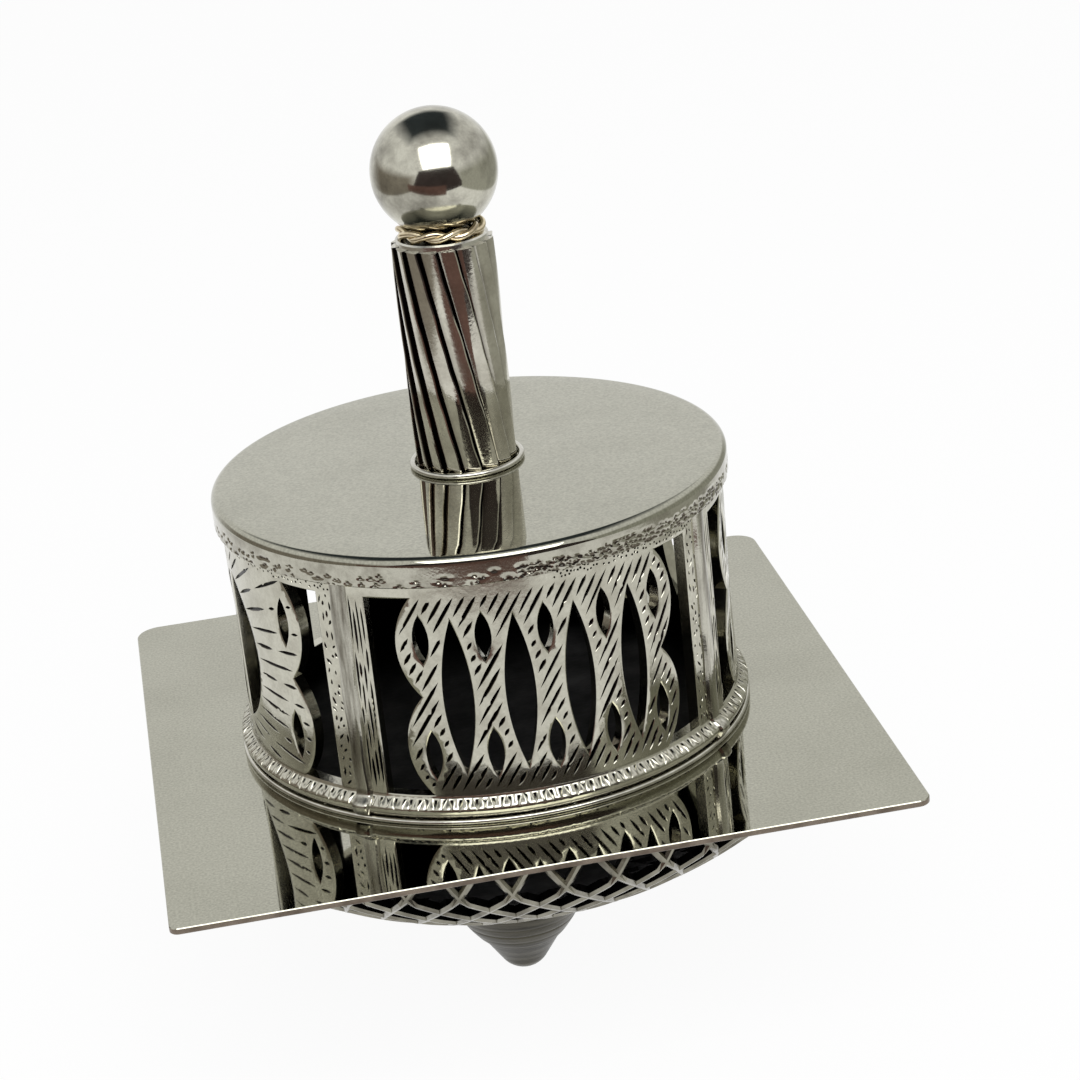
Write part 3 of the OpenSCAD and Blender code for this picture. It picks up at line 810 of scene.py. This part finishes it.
# Base ring: a plain silver wire, drawn and bent round the foot of the stem. It is soldered to
# the stem and to the cover, and hides the joint between them.
stem_r, stem_len, stem_bore_r = 4.0, 18.0, 2.9
base_wire_r, base_wire_steps = 0.24, 144
base_wire = wire(stem_r + base_wire_r + solder_gap, base_wire_r, cover_top)
piece("stem_base_ring_wire", "stem_base_ring", "drawn_wire", *turned(base_wire, base_wire_steps, True),
      [bright_wire])

# Stem: a silver tube chased with lands that lean like the teeth of a ratchet, each up to a
# sharp groove, then twisted. The lands are bright from fingers; painted shade darkens the grooves and the
# edges of the lands beside them.
flutes, stem_twist, stem_rows = 16, 48.0, 73
# Of each land: degrees from its middle, radius and share of painted shade
lands = [(-9.8, 3.7, 0.25), (-8.6, 3.74, 0.14), (-4.3, 3.81, 0.06), (0.0, 3.87, 0), (4.3, 3.93, 0),
         (8.2, 3.97, 0), (9.6, 3.93, 0.12), (10.9, 3.6, 1.0)]
# Chased by hand: lands differ in lean, and their crests, past an offset, waver along the stem
lean_most, lean_span, crest_from = 0.025, 8.4, 8
waver_deg, waver_len = 0.7, (7.3, 3.1)
lean_by = rng.uniform(-lean_most, lean_most, flutes)
waver_at = rng.uniform(0, 2 * math.pi, (flutes, len(waver_len)))
points, groove = [], []
for h in np.linspace(0, stem_len, stem_rows):
    for i in range(flutes):
        waver = sum(math.sin(2 * math.pi * h / long + at) for long, at in zip(waver_len, waver_at[i])) / 2
        for offset, r, dark in lands:
            shift = waver_deg * waver if offset > crest_from else 0
            a = math.radians(i * 360 / flutes + offset + shift - stem_twist * h / stem_len)
            r = min(r + (lean_by[i] * offset / lean_span if dark < 1 else 0), stem_r)
            points.append((r * math.cos(a), r * math.sin(a), cover_top + h))
            groove.append(dark)
outer = flutes * len(lands)
# The bore follows: its head, then its foot
for h in (stem_len, 0):
    for x, y, _ in points[:outer]:
        a = math.atan2(y, x) - math.radians(stem_twist) * h / stem_len
        points.append((stem_bore_r * math.cos(a), stem_bore_r * math.sin(a), cover_top + h))
groove += [0] * 2 * outer
rows = [range(k * outer, (k + 1) * outer) for k in range(stem_rows + 2)]
# Drawn tube: long bright lands with a warm cast, and painted shade along the grooves
fluted = silver("tube_silver_fluted", "#c6c3b6", "#a8a497", 0.09, 0.03, 0.25, 0.003, cloud_mm=3.5,
                hollow_shade="#2a231e")
piece("stem_fluted", "stem_tube", "fluted_tube", points, skin(rows, True), [fluted], None, groove, sharp=18)

# Stem cap: a small disc cut from silver sheet, with its edge eased. It is soldered over the
# head of the tube, closes it and carries the ball.
cap_low, cap_t, cap_r, cap_ease, cap_sides = cover_top + stem_len, 0.5, 3.58, 0.12, 96
cap_top = cap_low + cap_t
cap = [(0.0, cap_top), (cap_r - cap_ease, cap_top), (cap_r, cap_top - cap_ease), (cap_r, cap_low),
       (0.0, cap_low)]
piece("stem_cap_disc", "stem_cap", "drawn_wire", *turned(cap, cap_sides), [bright_wire])

# Ball collar: two silver wires twisted together and bent to a ring, which seats the ball on
# the cap. Old solder gives it a warm, brassy cast.
ball_r, ball_t, ball_vent_r = 4.88, 0.5, 0.6
collar_r = 0.55
# The twisted ring is slimmer than the plain one of the solid, so it lies further in, against the ball
collar_tuck = 0.3
collar_at = 2 * math.sqrt(ball_r * collar_r) + solder_gap - collar_tuck
strand_r, strand_wide, strand_rise, twists = 0.28, 0.22, 0.22, 5
collar_steps, strand_sides = 260, 14
collar_z = cap_top + strand_r + strand_rise
points, faces = [], []
for strand in (0, 1):
    rows = []
    for k in range(collar_steps):
        rows.append(range(len(points), len(points) + strand_sides))
        a = 2 * math.pi * k / collar_steps
        wind = twists * a + strand * math.pi
        at, z = collar_at + strand_wide * math.cos(wind), collar_z + strand_rise * math.sin(wind)
        for s in range(strand_sides):
            b = 2 * math.pi * s / strand_sides
            r = at + strand_r * math.cos(b)
            points.append((r * math.sin(a), -r * math.cos(a), z + strand_r * math.sin(b)))
    faces += skin(rows, True)
# Twisted wire with a skin of silver solder: warmer than the sheet, with dark brownish clouds that are painted
# shade and painted reflection of dark surroundings
warm_wire = silver("wire_silver_twisted", "#d6c9ab", "#6f5c45", 0.13, 0.04, 0.2, 0.004, cloud_mm=2.2)
piece("ball_collar_twisted", "ball_collar", "twisted_wire", points, faces, [warm_wire])

# Ball: two thin silver cups, raised in a block, vented below and soldered rim to rim. The
# whole ball is polished, so its seam no longer shows; fingers have left it a little cloudy.
ball_rows, hollow_rows, ball_sides = 33, 17, 128
ball_z = cap_top + ball_r + solder_gap
shell = ball_r - ball_t


def cup_profile(way, first, last):
    """Profile of the upper (1) or lower (-1) cup, from an angle out to the seam and back inside."""
    arcs = ((ball_r, np.linspace(first, math.pi / 2, ball_rows)),
            (shell, np.linspace(math.pi / 2, last, hollow_rows)))
    return [(r * math.sin(a), ball_z + way * r * math.cos(a)) for r, angles in arcs for a in angles]


up = cup_profile(1, 0, 0)
down = cup_profile(-1, math.asin(ball_vent_r / ball_r), math.asin(ball_vent_r / shell))
# Mirror-polished raised cup: clear reflections, softly blurred by handling
mirror_ball = silver("ball_silver_polished", "#c2c0b2", "#7d7a70", 0.115, 0.03, 0.16, 0.0006, cloud_mm=3.5)
for half, profile, closed in (("ball_upper_half", up, False), ("ball_lower_half", down, True)):
    points, faces = turned(profile, ball_sides, closed)
    which = [0 if i < ball_sides * ball_rows else 1 for i in range(len(faces))]
    cup = piece(half + "_cup", half, "polished_ball", points, faces, [mirror_ball, oxide], which)
    # The seam is polished away: the shine runs on across it, as on one sphere
    off = np.array(points) - (0, 0, ball_z)
    away = np.linalg.norm(off, axis=1)[:, None]
    cup.data.normals_split_custom_set_from_vertices(
        (off / away * np.where(away > (ball_r + shell) / 2, 1, -1)).tolist())

# Studio: a pale floor that the tip stands on, a soft window above the camera, and brown,
# dark and grey cards before the camera, overhead and at both sides, for the silver to reflect.
# Its sizes and places are in metres.
white = (1.0, 1.0, 1.0, 1.0)
floor_reach, floor_glow, sky_light = 3.0, 0.93, 0.6
window_w, window_h, window_watts, window_at = 0.5, 0.4, 2.4, (0.0, -0.39, 0.385)


def seen_directly(tree):
    """1 for camera, glossy and transmission rays, which see the background as white."""
    path = add(tree, "ShaderNodeLightPath")
    two = add(tree, "ShaderNodeMath", {"operation": "MAXIMUM"},
              {0: (path, "Is Camera Ray"), 1: (path, "Is Glossy Ray")})
    return add(tree, "ShaderNodeMath", {"operation": "MAXIMUM"},
               {0: (two, 0), 1: (path, "Is Transmission Ray")})


def side_card(x, y, z):
    """Corners of an upright card beside the object."""
    return [(x, y[0], z[0]), (x, y[1], z[0]), (x, y[1], z[1]), (x, y[0], z[1])]


def level_card(x, y, z):
    """Corners of a card that lies level."""
    return [(x[0], y[0], z), (x[1], y[0], z), (x[1], y[1], z), (x[0], y[1], z)]


def card(name, corners, finish, core=()):
    """A flat card of the studio. With a core, the card fades from there to its edge."""
    mesh = bpy.data.meshes.new(name)
    fading = [(i, (i + 1) % 4, 4 + (i + 1) % 4, 4 + i) for i in range(4)] if core else []
    mesh.from_pydata([*corners, *core], [], fading + [(4, 5, 6, 7) if core else (0, 1, 2, 3)])
    cover = mesh.attributes.new("cover", "FLOAT", "POINT")
    cover.data.foreach_set("value", [0.0 if core else 1.0] * 4 + [1.0] * len(core))
    mesh.materials.append(finish)
    made = bpy.data.objects.new(name, mesh)
    bpy.context.scene.collection.objects.link(made)
    made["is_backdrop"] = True
    return made


# White paper: it shows as white, and darkens a little in the shadow of the top
floor_paper = bpy.data.materials.new("floor_paper_white")
tree = cleared(floor_paper)
paper = add(tree, "ShaderNodeBsdfDiffuse", {"Color": linear("#f4f4f4")})
glow = add(tree, "ShaderNodeEmission", {"Color": white, "Strength": 1.0})
part = add(tree, "ShaderNodeMath", {"operation": "MULTIPLY", 1: floor_glow}, {0: (seen_directly(tree), 0)})
both = add(tree, "ShaderNodeMixShader", {}, {0: (part, 0), 1: (paper, 0), 2: (glow, 0)})
add(tree, "ShaderNodeOutputMaterial", {}, {"Surface": (both, 0)})
card("floor", level_card((-floor_reach, floor_reach), (-floor_reach, floor_reach), 0), floor_paper)

# Cards that only the silver sees, each at the tone that its reflection should have
for name, hex_code, corners, core in (
        ("card_brown", "#745a54", [(-0.17, -0.095, 0.0105), (0.02, -0.095, 0.0105),
                                   (0.02, -0.095, 0.045), (-0.17, -0.095, 0.045)], ()),
        ("card_black", "#453d3d", [(-0.139, -0.125, 0.0095), (0.121, -0.125, 0.0095),
                                   (0.071, -0.125, 0.105), (-0.083, -0.125, 0.105)], ()),
        ("card_overhead", "#3c4246", level_card((-0.42, 0.42), (-0.146, 0.78), 0.52),
         level_card((-0.2, 0.2), (0.0, 0.5), 0.52)),
        ("card_left", "#968f86", side_card(-0.14, (-0.2, 0.2), (0.0, 0.1)),
         side_card(-0.14, (-0.1, 0.08), (0.004, 0.07))),
        ("card_right", "#b4b4ab", side_card(0.11, (-0.2, 0.2), (0.0, 0.1)),
         side_card(0.11, (-0.12, 0.1), (0.004, 0.07)))):
    paint = bpy.data.materials.new(name + "_paper")
    tree = cleared(paint)
    tint = add(tree, "ShaderNodeEmission", {"Color": linear(hex_code), "Strength": 1.0})
    clear = add(tree, "ShaderNodeBsdfTransparent")
    covers = add(tree, "ShaderNodeAttribute", {"attribute_name": "cover"})
    faded = add(tree, "ShaderNodeMixShader", {}, {0: (covers, "Fac"), 1: (clear, 0), 2: (tint, 0)})
    add(tree, "ShaderNodeOutputMaterial", {}, {"Surface": (faded, 0)})
    shade = card(name, corners, paint, core)
    shade.visible_camera = shade.visible_diffuse = shade.visible_shadow = False

world = bpy.data.worlds.new("studio")
bpy.context.scene.world = world
tree = cleared(world)
level = add(tree, "ShaderNodeMapRange", {"To Min": sky_light, "To Max": 1.0},
            {"Value": (seen_directly(tree), 0)})
sky = add(tree, "ShaderNodeBackground", {"Color": white}, {"Strength": (level, 0)})
add(tree, "ShaderNodeOutputWorld", {}, {"Surface": (sky, 0)})

window = bpy.data.lights.new("window", "AREA")
window.shape, window.size, window.size_y, window.energy = "RECTANGLE", window_w, window_h, window_watts
lamp = bpy.data.objects.new("window", window)
bpy.context.scene.collection.objects.link(lamp)
lamp.location = window_at
lamp.rotation_euler = (Vector((0, 0, ball_z * MM)) - lamp.location).to_track_quat("-Z", "Y").to_euler()
lamp.visible_camera = False

# Camera: it stands where the photograph was taken from. Its turn, tilt, roll, place and focal
# length were solved on the plate, the drum, the stem and the ball.
view_az, view_el, view_roll = (math.radians(a) for a in (-7.595, 21.674, -6.15))
view_shift = Vector((-3.556, 13.546, 233.179)) * MM
focal_px, frame_px, sensor_mm = 2864.246, 1080, 36.0
back = Vector((math.sin(view_az) * math.cos(view_el), -math.cos(view_az) * math.cos(view_el),
               math.sin(view_el)))
right = Vector((0, 0, 1)).cross(back).normalized()
up_way = back.cross(right)
level_rows = Matrix((right, -up_way, -back))
rolled = Matrix(((math.cos(view_roll), -math.sin(view_roll), 0),
                 (math.sin(view_roll), math.cos(view_roll), 0), (0, 0, 1))) @ level_rows
camera = bpy.data.cameras.new("camera")
camera.sensor_width, camera.lens = sensor_mm, focal_px * sensor_mm / frame_px
camera.clip_start = 0.01
eye = bpy.data.objects.new("camera", camera)
bpy.context.scene.collection.objects.link(eye)
place = -(rolled.transposed() @ view_shift) + Vector((0, 0, plate_top_z * MM))
facing = Matrix((rolled[0], -rolled[1], -rolled[2])).transposed()
eye.matrix_world = Matrix.Translation(place) @ facing.to_4x4()
bpy.context.scene.camera = eye
bpy.context.scene.view_settings.view_transform = "Standard"

low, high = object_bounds()
